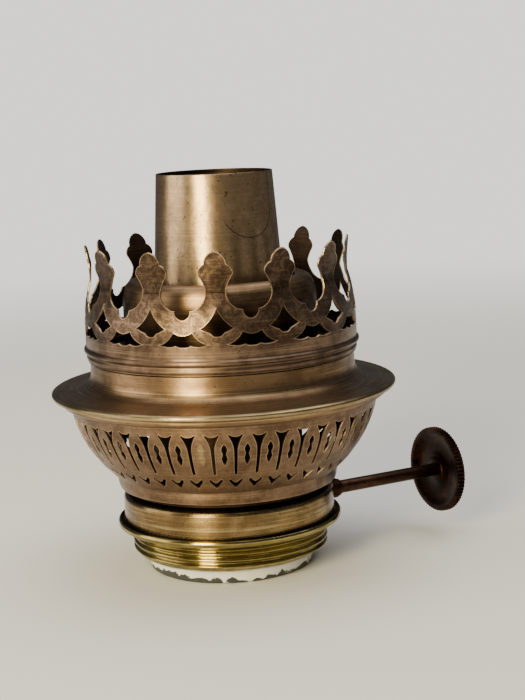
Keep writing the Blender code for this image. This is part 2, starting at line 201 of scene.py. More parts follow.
def lay_on_spindle(bm, x):
    """Turn a piece's Z axis to +X and put it on the winder's axis, x metres out."""
    place = Matrix.Translation((x, SPINDLE.y, SPINDLE.z)) @ Matrix.Rotation(math.pi / 2, 4, "Y")
    bmesh.ops.transform(bm, matrix=place, verts=bm.verts)


def fill_outlines(outlines):
    """A flat face set between an outer outline and its holes, in millimetres on the XY plane."""
    bm = bmesh.new()
    edges = []
    for outline in outlines:
        verts = [bm.verts.new((point.x * MM, point.y * MM, 0)) for point in outline]
        edges += [bm.edges.new(pair) for pair in zip(verts, verts[1:] + verts[:1])]
    bmesh.ops.triangle_fill(bm, use_beauty=True, edges=edges, normal=(0, 0, 1))
    bmesh.ops.reverse_faces(bm, faces=[face for face in bm.faces if face.normal.z < 0])
    return bm


def cut_across(bm, planes):
    """Cut every face along planes, each given by a point and a direction."""
    for point, normal in planes:
        everything = bm.verts[:] + bm.edges[:] + bm.faces[:]
        bmesh.ops.bisect_plane(bm, geom=everything, dist=CUT_MERGE, plane_co=point, plane_no=normal)


def darken_inside(mesh, finish):
    """Give the faces that look at the Z axis their own near-black finish, painted shade on the hollow
    insides.
    """
    mesh.materials.append(finish.material)
    for face in mesh.polygons:
        outwards = Vector((face.center.x, face.center.y, 0)).normalized()
        if face.normal.dot(outwards) < -0.5:
            face.material_index = len(mesh.materials) - 1


def finish_piece(name, bm, body, nodes, finishes, wall=0.0, edge=0.0, edge_angle=SHARP_ANGLE,
                 inside=None, rim_step=1):
    """Make the object, apply its wall and its edge rounding, and hang it on its body.

    The wall grows inwards from the shell, and its rim takes the finish rim_step places further on.
    """
    mesh = bpy.data.meshes.new(name)
    bm.to_mesh(mesh)
    bm.free()
    piece = bpy.data.objects.new(name, mesh)
    bpy.context.scene.collection.objects.link(piece)
    for finish in finishes:
        mesh.materials.append(finish.material)
    if wall:
        solid = piece.modifiers.new("wall", "SOLIDIFY")
        solid.thickness = wall
        solid.offset = -1
        solid.material_offset_rim = rim_step
    if edge:
        rounding = piece.modifiers.new("rounding", "BEVEL")
        rounding.width = edge
        rounding.segments = 2
        rounding.limit_method = "ANGLE"
        rounding.angle_limit = edge_angle
        rounding.use_clamp_overlap = True
    if wall or edge:
        graph = bpy.context.evaluated_depsgraph_get()
        piece.data = bpy.data.meshes.new_from_object(piece.evaluated_get(graph))
        piece.modifiers.clear()
    if inside:
        darken_inside(piece.data, inside)
    piece.data.shade_smooth()
    piece.data.set_sharp_from_angle(angle=SHARP_ANGLE)
    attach(piece, body)
    if nodes:
        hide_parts(*nodes)
    return piece


# Materials

class Finish:
    """A node material with a Principled shader, and short words for the nodes it uses."""

    def __init__(self, name, metallic, roughness):
        self.material = bpy.data.materials.new(name)
        self.material.use_nodes = True
        self.tree = self.material.node_tree
        self.shader = self.tree.nodes["Principled BSDF"]
        self.shader.inputs["Metallic"].default_value = metallic
        self.shader.inputs["Roughness"].default_value = roughness
        self.place = self.node("ShaderNodeTexCoord").outputs["Object"]

    def node(self, kind, **settings):
        made = self.tree.nodes.new(kind)
        for key, value in settings.items():
            setattr(made, key, value)
        return made

    def link(self, source, target):
        if isinstance(source, (int, float, tuple)):
            target.default_value = source
        else:
            self.tree.links.new(source, target)

    def math(self, operation, first, second=0.0, third=0.0):
        made = self.node("ShaderNodeMath", operation=operation)
        for value, socket in zip((first, second, third), made.inputs):
            self.link(value, socket)
        return made.outputs[0]

    def hypotenuse(self, across, up):
        squares = [self.math("MULTIPLY", side, side) for side in (across, up)]
        return self.math("SQRT", self.math("ADD", *squares))

    def noise(self, scale, detail=4.0, roughness=0.55, vector=None, distortion=0.0):
        made = self.node("ShaderNodeTexNoise")
        self.link(vector or self.place, made.inputs["Vector"])
        made.inputs["Scale"].default_value = scale
        made.inputs["Detail"].default_value = detail
        made.inputs["Roughness"].default_value = roughness
        made.inputs["Distortion"].default_value = distortion
        return made.outputs["Fac"]

    def ramp(self, value, low, high, to_low=0.0, to_high=1.0):
        made = self.node("ShaderNodeMapRange", interpolation_type="SMOOTHSTEP")
        for key, item in (("Value", value), ("From Min", low), ("From Max", high),
                          ("To Min", to_low), ("To Max", to_high)):
            self.link(item, made.inputs[key])
        return made.outputs["Result"]

    def mix(self, share, first, second):
        made = self.node("ShaderNodeMix", data_type="RGBA")
        for key, item in ((0, share), (6, first), (7, second)):
            self.link(item if not isinstance(item, tuple) else (*item, 1.0), made.inputs[key])
        return made.outputs[2]

    def split(self):
        made = self.node("ShaderNodeSeparateXYZ")
        self.link(self.place, made.inputs[0])
        return made.outputs

    def brushed(self, across=9000.0, along=90.0):
        """Fine lines that run round the Z axis, as a lathe and a cloth leave them."""
        x, y, z = self.split()
        sideways = self.math("ADD", x, self.math("MULTIPLY", y, 1.3))
        lines = self.node("ShaderNodeCombineXYZ")
        self.link(self.math("MULTIPLY", self.hypotenuse(x, y), across), lines.inputs[0])
        self.link(self.math("MULTIPLY", z, across), lines.inputs[1])
        self.link(self.math("MULTIPLY", sideways, along), lines.inputs[2])
        return self.noise(1.0, 3.0, 0.6, lines.outputs[0])

    def bump(self, height, strength, distance, below=None):
        made = self.node("ShaderNodeBump")
        made.inputs["Strength"].default_value = strength
        made.inputs["Distance"].default_value = distance
        self.link(height, made.inputs["Height"])
        if below:
            self.link(below, made.inputs["Normal"])
        return made.outputs["Normal"]

    def source(self, name):
        """What feeds one of the shader's sockets so far."""
        return self.shader.inputs[name].links[0].from_socket

    def colour(self, source):
        self.link(source, self.shader.inputs["Base Color"])

    def rough(self, source):
        self.link(source, self.shader.inputs["Roughness"])

    def normal(self, source):
        self.link(source, self.shader.inputs["Normal"])


def darker(colour, share):
    return tuple(share * part for part in colour)


def patina_brass(name, dark, middle, light, dull=0.34, specks=0.5, streaks=0.6, patches=0.6, mottle=0.0,
                 mottle_from=0.0, dents=0.15):
    """Brass gone brown and brushed round its axis, with darker patches, streaks, grain and dark specks.

    Mottling, where there is some, starts at the height mottle_from, in metres.
    """
    finish = Finish(name, 1.0, dull)
    finish.shader.inputs["Anisotropic"].default_value = 0.6
    finish.shader.inputs["Anisotropic Rotation"].default_value = 0.25
    lines = finish.brushed(3200.0, 60.0)
    fine_lines = finish.brushed(9000.0, 150.0)
    clouds = finish.noise(150.0, 6.0, 0.62, distortion=0.6)
    grain = finish.noise(2400.0, 3.0, 0.6)
    colour = finish.mix(finish.ramp(clouds, 0.38, 0.62, 1.0 - patches, 1.0), dark, middle)
    colour = finish.mix(finish.ramp(lines, 0.50, 0.72, 0.0, streaks), colour, light)
    colour = finish.mix(finish.ramp(lines, 0.30, 0.46, streaks, 0.0), colour, dark)
    if mottle:
        swirls = finish.ramp(finish.noise(420.0, 4.0, 0.7, distortion=2.2), 0.42, 0.58, mottle, 0.0)
        reach = finish.ramp(finish.split()[2], mottle_from - 1 * MM, mottle_from + 1 * MM)
        colour = finish.mix(finish.math("MULTIPLY", swirls, reach), colour, darker(dark, 0.6))
    spots = finish.ramp(finish.noise(1900.0, 2.0, 0.5), 0.66, 0.71, 0.0, specks)
    finish.colour(finish.mix(spots, colour, darker(dark, 0.2)))
    wear = finish.math("MULTIPLY_ADD", clouds, -0.20, dull + 0.10)
    finish.rough(finish.math("MULTIPLY_ADD", grain, 0.10, wear))
    relief = finish.bump(lines, 0.5, 0.03 * MM)
    relief = finish.bump(fine_lines, 0.35, 0.01 * MM, relief)
    relief = finish.bump(grain, 0.25, 0.02 * MM, relief)
    finish.normal(finish.bump(finish.noise(140.0, 3.0), dents, 0.5 * MM, relief))
    return finish


def darken_by_height(finish, low, high, share, factor):
    """Darken a finish towards one end; the change runs from height low (full) to height high (none)."""
    height = finish.math("ADD", finish.split()[2], finish.math("MULTIPLY", finish.noise(150.0), 1.0 * MM))
    made = finish.node("ShaderNodeMix", data_type="RGBA", blend_type="MULTIPLY")
    finish.link(finish.ramp(height, low, high, share, 0.0), made.inputs[0])
    finish.link(finish.source("Base Color"), made.inputs[6])
    finish.link((*factor, 1.0), made.inputs[7])
    finish.colour(made.outputs[2])


def crease_shade(finish, height, strength):
    """A thin dark line round the piece at one height: painted shade in place of a crease."""
    away = finish.math("ABSOLUTE", finish.math("SUBTRACT", finish.split()[2], height))
    broken = finish.ramp(finish.noise(90.0, 1.0), 0.40, 0.52, 0.25 * strength, strength)
    line = finish.math("MULTIPLY", finish.ramp(away, 0.04 * MM, 0.16 * MM, 1.0, 0.0), broken)
    finish.colour(finish.mix(line, finish.source("Base Color"), (0.02, 0.011, 0.006)))


BROWN = (0.115, 0.066, 0.034)
COPPER = (0.26, 0.160, 0.085)
GOLD = (0.54, 0.395, 0.185)
# multiplier that darkens a colour as painted shade
PAINTED_SHADE = (0.15, 0.13, 0.12)

body_brass = patina_brass("patina_brass", BROWN, COPPER, GOLD, dull=0.30)

crown_brass = patina_brass("crown_brass", (0.085, 0.052, 0.034), (0.20, 0.130, 0.086), (0.44, 0.31, 0.18),
                           dull=0.36, specks=0.6, streaks=0.35, patches=0.9, mottle=0.7,
                           mottle_from=48.5 * MM, dents=0.2)
# the petal heads above the crease are darker and greyer
darken_by_height(crown_brass, 59.6 * MM, 58.6 * MM, 0.75, (0.45, 0.43, 0.42))
# painted shade: a thin dark line along the petals' crease
crease_shade(crown_brass, 58.9 * MM, 0.8)

basket_brass = patina_brass("basket_brass", (0.11, 0.064, 0.036), (0.235, 0.150, 0.092), (0.42, 0.30, 0.17),
                            dull=0.36, specks=0.3, streaks=0.3, patches=0.8, mottle=0.3)

drum_brass = patina_brass("drum_brass", (0.09, 0.050, 0.020), (0.24, 0.158, 0.066), (0.62, 0.49, 0.24),
                          dull=0.21, streaks=0.55)
# painted shade: the drum's neck under the basket is darkened from its shoulder up
darken_by_height(drum_brass, 16.6 * MM, 15.7 * MM, 0.9, PAINTED_SHADE)

cap_brass = patina_brass("cap_brass", BROWN, COPPER, GOLD)
# painted shade: the cap grows darker downwards, deep inside the coronet
darken_by_height(cap_brass, 53.5 * MM, 57.5 * MM, 0.9, PAINTED_SHADE)

# lighter brass for edges and lips: wear, and a painted highlight where the edges catch the light
worn_and_glinting_brass = patina_brass("worn_glinting_edge_brass", (0.24, 0.155, 0.09), (0.34, 0.235, 0.14), (0.52, 0.38, 0.24),
                          dull=0.30)
# lighter, glossier brass: a painted highlight on the flange's rolled rim and on the basket's slug
painted_highlight_brass = patina_brass("painted_highlight_brass", (0.17, 0.115, 0.052), (0.33, 0.24, 0.12), (0.64, 0.50, 0.28),
                         dull=0.26)
yellow_brass = patina_brass("bright_thread_brass", (0.18, 0.13, 0.040), (0.36, 0.29, 0.095),
                            (0.70, 0.59, 0.26), dull=0.14, specks=0.4, streaks=0.5, patches=0.7)
dark_bronze = patina_brass("dark_bronze", (0.014, 0.006, 0.003), (0.050, 0.020, 0.010), (0.13, 0.06, 0.03),
                           dull=0.36, streaks=0.1, patches=0.9, mottle=0.6)
# the rod's own dark brown, darkened further as painted shade for the burner's shadow on it
rod_bronze_and_shade = patina_brass("rod_bronze_and_shade", (0.035, 0.016, 0.008), (0.085, 0.042, 0.022), (0.16, 0.085, 0.045),
                          streaks=0.1, patches=0.9, mottle=0.5)
# near-black brass for the insides and the hidden inner parts: painted shade
inner_shade_brass = patina_brass("inner_shade_brass", (0.020, 0.012, 0.007), (0.055, 0.033, 0.019),
                           (0.10, 0.065, 0.035), dull=0.5)


def foot_coat():
    """White coat that has flaked off dark metal, mostly along the lower rim."""
    finish = Finish("foot_coating", 0.0, 0.55)
    height = finish.split()[2]
    flakes = finish.noise(260.0, 5.0, 0.6, distortion=0.8)
    lean = finish.ramp(height, 0.2 * MM, 2.4 * MM, 0.17, -0.10)
    bare = finish.ramp(finish.math("ADD", flakes, lean), 0.58, 0.60)
    white = finish.mix(finish.noise(500.0), (0.62, 0.62, 0.60), (0.85, 0.84, 0.80))
    finish.colour(finish.mix(bare, white, (0.035, 0.038, 0.035)))
    finish.rough(finish.math("MULTIPLY_ADD", bare, -0.12, 0.55))
    finish.normal(finish.bump(finish.math("SUBTRACT", 1.0, bare), 0.6, 0.08 * MM))
    return finish


def woven_cotton():
    """Cream cotton tape with its weave, scorched at the lit end."""
    finish = Finish("wick_cotton", 0.0, 0.92)
    x, y, z = finish.split()
    angle = finish.math("ARCTAN2", y, x)
    ribs = finish.math("SINE", finish.math("MULTIPLY", angle, 96.0))
    rows = finish.math("SINE", finish.math("MULTIPLY", z, 7500.0))
    weave = finish.math("MULTIPLY", ribs, rows)
    fuzz = finish.noise(1800.0, 3.0)
    cream = finish.mix(finish.ramp(weave, -1.0, 1.0), (0.50, 0.44, 0.33), (0.80, 0.75, 0.63))
    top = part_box("wick")[1][2]
    scorch = finish.ramp(finish.math("ADD", z, finish.math("MULTIPLY", fuzz, 1.5 * MM)), top - 3 * MM, top)
    finish.colour(finish.mix(scorch, cream, (0.05, 0.035, 0.025)))
    finish.normal(finish.bump(weave, 0.7, 0.25 * MM, finish.bump(fuzz, 0.3, 0.1 * MM)))
    return finish


foot_white = foot_coat()
cotton = woven_cotton()


# Fixed pieces of the burner

TUBE_TOP = top_of("outer_wick_tube")


def tube_radius(height):
    return TUBE_TOP_RADIUS + TUBE_SLOPE * (TUBE_TOP - height)


def wick_radius(height):
    return tube_radius(height) - TUBE_WALL - WICK_CLEARANCE


def air_tube_radius(height):
    return wick_radius(height) - WICK_THICKNESS - AIR_TUBE_CLEARANCE


def open_window(bm):
    """Cut the air window out of a tube's wall on the spindle side, where the duct passes."""
    low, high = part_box("air_duct")
    gap = WINDOW_GAP * MM
    half_width = high[1] + gap
    bottom = low[2] - gap
    top = high[2] + gap
    cut_across(bm, [((0, side * half_width, 0), (0, 1, 0)) for side in (-1, 1)])
    cut_across(bm, [((0, 0, height), (0, 0, 1)) for height in (bottom, top)])
    inside = []
    for face in bm.faces:
        middle = face.calc_center_median()
        if middle.x > 0 and abs(middle.y) < half_width and bottom < middle.z < top:
            inside.append(face)
    bmesh.ops.delete(bm, geom=inside, context="FACES")


def scribed_line(finish):
    """How much of a thin U-shaped line lies at each point of the cone; its left arm is worn away."""
    facing = math.radians(-84.1)
    reach = 12.0 * MM
    arm = 5.9 * MM
    bend = (TUBE_TOP - 6.6) * MM
    x, y, z = finish.split()
    toward = finish.math("ADD", finish.math("MULTIPLY", x, math.cos(facing)),
                         finish.math("MULTIPLY", y, math.sin(facing)))
    aside = finish.math("SUBTRACT", finish.math("MULTIPLY", y, math.cos(facing)),
                        finish.math("MULTIPLY", x, math.sin(facing)))
    across = finish.math("MULTIPLY", finish.math("ARCTAN2", aside, toward), reach)
    below = finish.math("MINIMUM", finish.math("SUBTRACT", z, bend), 0.0)
    off_line = finish.math("ABSOLUTE", finish.math("SUBTRACT", finish.hypotenuse(across, below), arm))
    line = finish.ramp(off_line, 0.04 * MM, 0.17 * MM, 1.0, 0.0)
    worn_off = finish.math("MULTIPLY", finish.ramp(across, -4.0 * MM, -2.0 * MM, 1.0, 0.0),
                           finish.ramp(z, bend - 3.5 * MM, bend - 1.5 * MM))
    return finish.math("MULTIPLY", line, finish.math("SUBTRACT", 1.0, worn_off))


def wick_tube_finish():
    """Patina brass, sooty inside the gallery and darker still from the basket's top down, painted shade where
    it shows through the openings, with one thin line scribed below the rim.
    """
    finish = patina_brass("wick_tube_brass", (0.27, 0.170, 0.090), (0.48, 0.33, 0.19), (0.66, 0.49, 0.28),
                          dull=0.31, specks=0.95, streaks=0.3, mottle=0.2, dents=0.3)
    darken_by_height(finish, 35.0 * MM, 58.0 * MM, 0.9, (0.35, 0.32, 0.30))
    # painted shade: the tube is darkened further from the basket's top down, where it shows through the
    # openings
    darken_by_height(finish, 33.0 * MM, 38.0 * MM, 0.9, PAINTED_SHADE)
    line = scribed_line(finish)
    shade = finish.math("MULTIPLY", line, 0.8)
    finish.colour(finish.mix(shade, finish.source("Base Color"), (0.06, 0.03, 0.015)))
    left_over = finish.math("SUBTRACT", 1.0, line)
    finish.normal(finish.bump(left_over, 0.3, 0.04 * MM, finish.source("Normal")))
    return finish


def make_wick_tube():
    foot = foot_of("outer_wick_tube")
    rim = TUBE_TOP - 0.25
    line = [(tube_radius(rim) - 0.06, TUBE_TOP)]
    line += [(tube_radius(height), height) for height in (rim, 60.0, 40.0, 20.0, foot)]
    bm = spin_line(line)
    point_outwards(bm)
    open_window(bm)
    finish_piece("wick_tube_cone", bm, "burner", ["outer_wick_tube"],
                 [wick_tube_finish(), worn_and_glinting_brass], TUBE_WALL * MM, SOFT_EDGE, inside=inner_shade_brass)


def make_air_tube():
    heights = (top_of("inner_air_tube"), 50.0, foot_of("inner_air_tube"))
    bm = spin_line([(air_tube_radius(height), height) for height in heights], 96)
    point_outwards(bm)
    open_window(bm)
    finish_piece("draught_tube", bm, "burner", ["inner_air_tube"],
                 [inner_shade_brass, inner_shade_brass], TUBE_WALL * MM, FINE_EDGE)


def make_air_tube_floor():
    foot = foot_of("air_tube_floor")
    top = top_of("air_tube_floor")
    rim = rim_of("air_tube_floor")
    line = [(0, top), (rim - 0.6, top), (rim, top), (rim, foot), (0, foot)]
    finish_piece("draught_tube_floor", spin_line(line, 96), "burner", ["air_tube_floor"],
                 [inner_shade_brass], 0, SOFT_EDGE)


def make_duct():
    """A square pipe with rounded corners and open ends."""
    low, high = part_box("air_duct")
    bm = bmesh.new()
    bmesh.ops.create_cube(bm, size=1)
    bmesh.ops.scale(bm, vec=[b - a for a, b in zip(low, high)], verts=bm.verts)
    bmesh.ops.translate(bm, vec=[(a + b) / 2 for a, b in zip(low, high)], verts=bm.verts)
    ends = [face for face in bm.faces if abs(face.normal.x) > 0.9]
    bmesh.ops.delete(bm, geom=ends, context="FACES")
    corners = [edge for edge in bm.edges if abs((edge.verts[0].co - edge.verts[1].co).normalized().x) > 0.9]
    bmesh.ops.bevel(bm, geom=corners, offset=0.6 * MM, segments=4, profile=0.5, affect="EDGES", material=-1)
    finish_piece("draught_duct", bm, "burner", ["air_duct"], [inner_shade_brass], SHEET, FINE_EDGE)


def make_strap():
    """A strip bent into an upside-down U."""
    low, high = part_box("bearing_bracket")
    bm = bmesh.new()
    corners = [(low[0], low[2]), (low[0], high[2]), (high[0], high[2]), (high[0], low[2])]
    verts = [bm.verts.new((x, low[1], z)) for x, z in corners]
    edges = [bm.edges.new(pair) for pair in zip(verts, verts[1:])]
    swept = bmesh.ops.extrude_edge_only(bm, edges=edges)["geom"]
    moved = [part for part in swept if isinstance(part, bmesh.types.BMVert)]
    bmesh.ops.translate(bm, vec=(0, high[1] - low[1], 0), verts=moved)
    bends = [edge for edge in bm.edges if len(edge.link_faces) == 2]
    bmesh.ops.bevel(bm, geom=bends, offset=0.9 * MM, segments=5, profile=0.5, affect="EDGES", material=-1)
    bmesh.ops.recalc_face_normals(bm, faces=bm.faces)
    if max(bm.faces, key=lambda face: face.calc_center_median().z).normal.z < 0:
        bmesh.ops.reverse_faces(bm, faces=bm.faces)
    finish_piece("spindle_strap", bm, "burner", ["bearing_bracket"], [inner_shade_brass],
                 STRAP_SHEET, FINE_EDGE)


def thread_height(height, angle, top, bottom):
    """How far a rolled thread stands out at a height and angle, in millimetres, fading at both ends."""
    wave = 0.5 + 0.5 * math.cos(2 * math.pi * (height / THREAD_PITCH + angle / (2 * math.pi)))
    start = max(0.0, (top - height) / (0.5 * THREAD_PITCH))
    end = max(0.0, (height - bottom) / (0.6 * THREAD_PITCH))
    return THREAD_RIDGE * min(1.0, start, end) * wave ** 0.8


def roll_thread(bm, top, bottom):
    """Push the thread out of a collar's wall."""
    for vertex in bm.verts:
        height = vertex.co.z / MM
        if bottom < height < top:
            angle = math.atan2(vertex.co.y, vertex.co.x)
            radius = math.hypot(vertex.co.x, vertex.co.y)
            swelling = 1 + thread_height(height, angle, top, bottom) * MM / radius
            vertex.co.x *= swelling
            vertex.co.y *= swelling


def make_collar():
    foot = foot_of("base_collar")
    thread_bottom = foot + 0.35
    thread_core = 19.5
    rows = 44
    taper_from = 4.3
    taper_height = 1.2
    taper_depth = 1.1
    line = bowed([(22.45, 10.4, 0.08), (22.85, 10.0, 0.10), (22.75, 9.2, 0.0), (21.2, 8.2, -0.25),
                  (19.55, THREAD_TOP, 0.0)], 5)
    for row in range(1, rows + 1):
        height = THREAD_TOP + (thread_bottom - THREAD_TOP) * row / rows
        narrowing = max(0.0, (taper_from - height) / taper_height)
        line.append((thread_core - taper_depth * narrowing ** 1.5, height))
    line += [(17.9, foot + 0.05), (17.35, foot)]
    bm = spin_line(line, 192)
    point_outwards(bm)
    roll_thread(bm, THREAD_TOP, thread_bottom)
    finish_piece("threaded_collar", bm, "burner", ["base_collar"],
                 [yellow_brass, yellow_brass], SHEET, SOFT_EDGE)


def make_foot():
    top = top_of("tube_foot")
    section = bowed([(16.95, top, 0.0), (16.75, 0.55, 0.12), (16.25, 0.0, 0.0), (15.95, 0.15, 0.0),
                     (15.95, top, 0.0)], 4)
    finish_piece("foot_ring", spin_line(section, closed=True), "burner", ["tube_foot"],
                 [foot_white])


def make_housing():
    top = top_of("raiser_housing")
    line = bowed([(tube_radius(top) + 0.45, top, 0.0), (18.7, top, 0.2), (19.4, top - 0.7, 0.0),
                  (19.4, 16.6, -0.1), (19.9, 16.05, 0.0), (20.5, 15.85, 0.3), (21.5, 14.7, 0.0),
                  (21.5, 12.0, 0.0), (21.5, foot_of("raiser_housing"), 0.0)], 6)
    bm = spin_line(line)
    point_outwards(bm)
    finish_piece("winder_drum", bm, "burner", ["raiser_housing"],
                 [drum_brass, worn_and_glinting_brass], SHEET, SOFT_EDGE, inside=inner_shade_brass)


def make_gland():
    """The collar soldered to the drum, in which the spindle turns."""
    start, length = spindle_span("spindle_bush")
    section = [(1.45, length), (1.7, length), (1.8, length - 0.1), (1.8, length - 0.7),
               (2.05, length - 0.8), (2.05, 0), (1.45, 0)]
    bm = spin_line(section, 48, True)
    lay_on_spindle(bm, start)
    finish_piece("spindle_gland", bm, "burner", ["spindle_bush"], [dark_bronze])


# Winder

def make_spindle():
    start, length = spindle_span("winder_spindle")
    flat = SPINDLE_RADIUS - 0.25
    line = bowed([(0, length, 0), (flat, length, 0.05), (SPINDLE_RADIUS, length - 0.25, 0),
                  (SPINDLE_RADIUS, length * 0.5, 0), (SPINDLE_RADIUS, 0.25, 0.05), (flat, 0, 0),
                  (0, 0, 0)], 4)
    bm = spin_line(line, 40)
    lay_on_spindle(bm, start)
    finish_piece("spindle_rod", bm, "winder", ["winder_spindle"], [rod_bronze_and_shade])


def knurl(bm, rim):
    """Press rounded grooves into the edge of a disc that lies on the XY plane."""
    depth = 0.36
    grooves_from = rim - 0.30
    fade_width = 0.25
    for vertex in bm.verts:
        radius = math.hypot(vertex.co.x, vertex.co.y) / MM
        share = max(0.0, min(1.0, (radius - grooves_from) / fade_width))
        groove = 0.5 - 0.5 * math.cos(KNURL_COUNT * math.atan2(vertex.co.y, vertex.co.x))
        shrink = 1 - share * depth * groove / radius
        vertex.co.x *= shrink
        vertex.co.y *= shrink


def make_thumbwheel():
    start, thickness = spindle_span("thumbwheel")
    half = thickness / 2
    low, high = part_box("thumbwheel")
    rim = (high[2] - low[2]) / 2 / MM
    section = bowed([(SPINDLE_BORE, 0.5, 0), (2.9, 0.5, 0.1), (4.0, 0.25, 0), (6.6, 0.3, -0.12),
                     (7.7, half - 0.08, 0), (7.9, half, 0), (rim - 0.25, half, 0.05), (rim, half - 0.2, 0),
                     (rim, 0, 0), (rim, 0.2 - half, 0.05), (rim - 0.25, -half, 0), (7.9, -half, 0.03),
                     (7.2, -0.45, -0.2), (4.6, -0.02, -0.1), (3.2, -0.35, -0.1), (2.4, -0.75, 0),
                     (SPINDLE_BORE, -0.75, 0)], 5)
    bm = spin_line(section, KNURL_COUNT * 6, True)
    knurl(bm, rim)
    lay_on_spindle(bm, start + half * MM)
    finish_piece("knurled_disc", bm, "winder", ["thumbwheel"], [dark_bronze])


def make_rivet_head():
    start, length = spindle_span("spindle_rivet_head")
    line = bowed([(0, length, 0.06), (1.6, length * 0.75, 0.1), (2.4, 0.1, 0), (2.3, -0.2, 0),
                  (0, -0.2, 0)], 6)
    bm = spin_line(line, 48)
    lay_on_spindle(bm, start)
    finish_piece("spindle_rivet", bm, "winder", ["spindle_rivet_head"], [dark_bronze])


def make_stop_collar():
    start, length = spindle_span("spindle_stop_collar")
    section = [(SPINDLE_BORE, length), (2.2, length), (2.3, length - 0.1), (2.3, 0.1), (2.2, 0),
               (SPINDLE_BORE, 0)]
    bm = spin_line(section, 40, True)
    lay_on_spindle(bm, start)
    finish_piece("spindle_ring", bm, "winder", ["spindle_stop_collar"], [dark_bronze])


def spiked_outline():
    """A wheel's edge; each spike is five points, given by their share of the pitch and their radius."""
    spike = ((-0.38, 3.1), (-0.10, 4.05), (0.0, 4.2), (0.10, 4.05), (0.38, 3.1))
    outline = []
    for index in range(WHEEL_SPIKES):
        for offset, radius in spike:
            angle = 2 * math.pi * (index + offset) / WHEEL_SPIKES
            outline.append(Vector((radius * math.cos(angle), radius * math.sin(angle))))
    return outline


def make_wheels():
    """The two spiked wheels on the spindle, next to the wick."""
    for place in ("inner", "outer"):
        node = "wick_wheel_" + place
        start, thickness = spindle_span(node)
        bm = fill_outlines([spiked_outline(), ring_outline(SPINDLE_BORE, 32)])
        bmesh.ops.translate(bm, vec=(0, 0, thickness * MM), verts=bm.verts)
        lay_on_spindle(bm, start)
        finish_piece("spiked_wheel_" + place, bm, "winder", [node], [yellow_brass],
                     thickness * MM, SOFT_EDGE)


# Wick

def make_wick():
    """A ribbed tape rolled round the air tube, with its two edges apart on the duct's side."""
    bottom = foot_of("wick")
    top = top_of("wick")
    rib_pitch = 1.2
    rib_height = 0.07
    bm = bmesh.new()
    bmesh.ops.create_grid(bm, x_segments=156, y_segments=24, size=0.5)
    for vertex in bm.verts:
        across = vertex.co.x * WICK_WIDTH
        height = bottom + (vertex.co.y + 0.5) * (top - bottom)
        rib = rib_height * math.cos(across / rib_pitch * 2 * math.pi)
        radius = wick_radius(height) - 0.1 + rib
        angle = math.pi + across / (wick_radius(height) - WICK_THICKNESS / 2)
        vertex.co = (radius * MM * math.cos(angle), radius * MM * math.sin(angle), height * MM)
    piece = finish_piece("cotton_wick", bm, "wick", ["wick"], [cotton],
                         (WICK_THICKNESS - 0.2) * MM, 0.35 * MM)


# Lift-off gallery

class BentSheet:
    """Side view of a sheet: a distance along it, in metres, gives a radius and a height."""

    def __init__(self, line):
        self.points = [(point.x * MM, point.y * MM) for point in line]
        self.lengths = [0.0]
        for (r0, z0), (r1, z1) in zip(self.points, self.points[1:]):
            self.lengths.append(self.lengths[-1] + math.hypot(r1 - r0, z1 - z0))

    def at(self, distance):
        last = len(self.lengths) - 1
        index = 1
        while index < last and distance > self.lengths[index]:
            index += 1
        part = (distance - self.lengths[index - 1]) / (self.lengths[index] - self.lengths[index - 1])
        (r0, z0), (r1, z1) = self.points[index - 1], self.points[index]
        return r0 + (r1 - r0) * part, z0 + (z1 - z0) * part


def mark_edges(bm, strip_length):
    """Give every real edge of the flat strip a narrow lip, slightly raised, in the lighter edge finish: worn
    brass with a painted highlight.
    """
    lift = bm.verts.layers.float.new("lift")
    bmesh.ops.dissolve_limit(bm, angle_limit=0.01, verts=bm.verts, edges=bm.edges)
    ring = bmesh.ops.inset_region(bm, faces=bm.faces, use_boundary=True, use_even_offset=True,
                                  thickness=EDGE_LIP)["faces"]
    for face in ring:
        face.material_index = 1
        middle = face.calc_center_median().x
        if min(middle, strip_length - middle) < EDGE_LIP:
            face.material_index = 0
    for edge in bm.edges:
        if edge.is_boundary:
            for vertex in edge.verts:
                inside = EDGE_LIP < vertex.co.x < strip_length - EDGE_LIP
                vertex[lift] = EDGE_LIFT if inside else 0.0
    return lift


def bend_round(bm, sheet, reference, start_angle, columns, swell):
    """Cut the flat strip finely, bend it to the sheet's side view and close it round the axis.

    The strip closes at the radius reference, in metres. swell says how far a point stands out of the sheet.
    """
    length = 2 * math.pi * reference
    lift = mark_edges(bm, length)
    cut_across(bm, [((0, distance, 0), (0, 1, 0)) for distance in sheet.lengths[1:-1]])
    cut_across(bm, [((length * column / columns, 0, 0), (1, 0, 0)) for column in range(1, columns)])
    bmesh.ops.triangulate(bm, faces=[face for face in bm.faces if len(face.verts) > 4])
    for vertex in bm.verts:
        angle = vertex.co.x / reference + start_angle
        radius, height = sheet.at(vertex.co.y)
        radius += vertex[lift] + swell(vertex.co.x / length, vertex.co.y)
        vertex.co = (radius * math.cos(angle), radius * math.sin(angle), height)
    bmesh.ops.remove_doubles(bm, verts=bm.verts, dist=FINE_MERGE)


def strip_corners(length, top):
    return [Vector((0, 0)), Vector((length, 0)), Vector((length, top)), Vector((0, top))]


def hourglass():
    """The opening in the middle of each lobe."""
    degree = BASKET_DEGREE
    return mirrored(bowed([(0, 11.4, -0.10), (1.12 * degree, 13.1, 0.02), (0.60 * degree, 14.05, 0.02),
                           (1.12 * degree, 15.0, -0.10), (0, 16.3, 0)], 5))


def slot():
    """The narrow opening between two lobes, which widens at the top."""
    degree = BASKET_DEGREE
    return mirrored(bowed([(0, 8.85, -0.10), (0.58 * degree, 9.1, 0.0), (0.66 * degree, 14.6, 0.22),
                           (2.50 * degree, 17.95, -0.08), (2.35 * degree, 18.3, 0.14), (0, 17.8, 0)], 6))


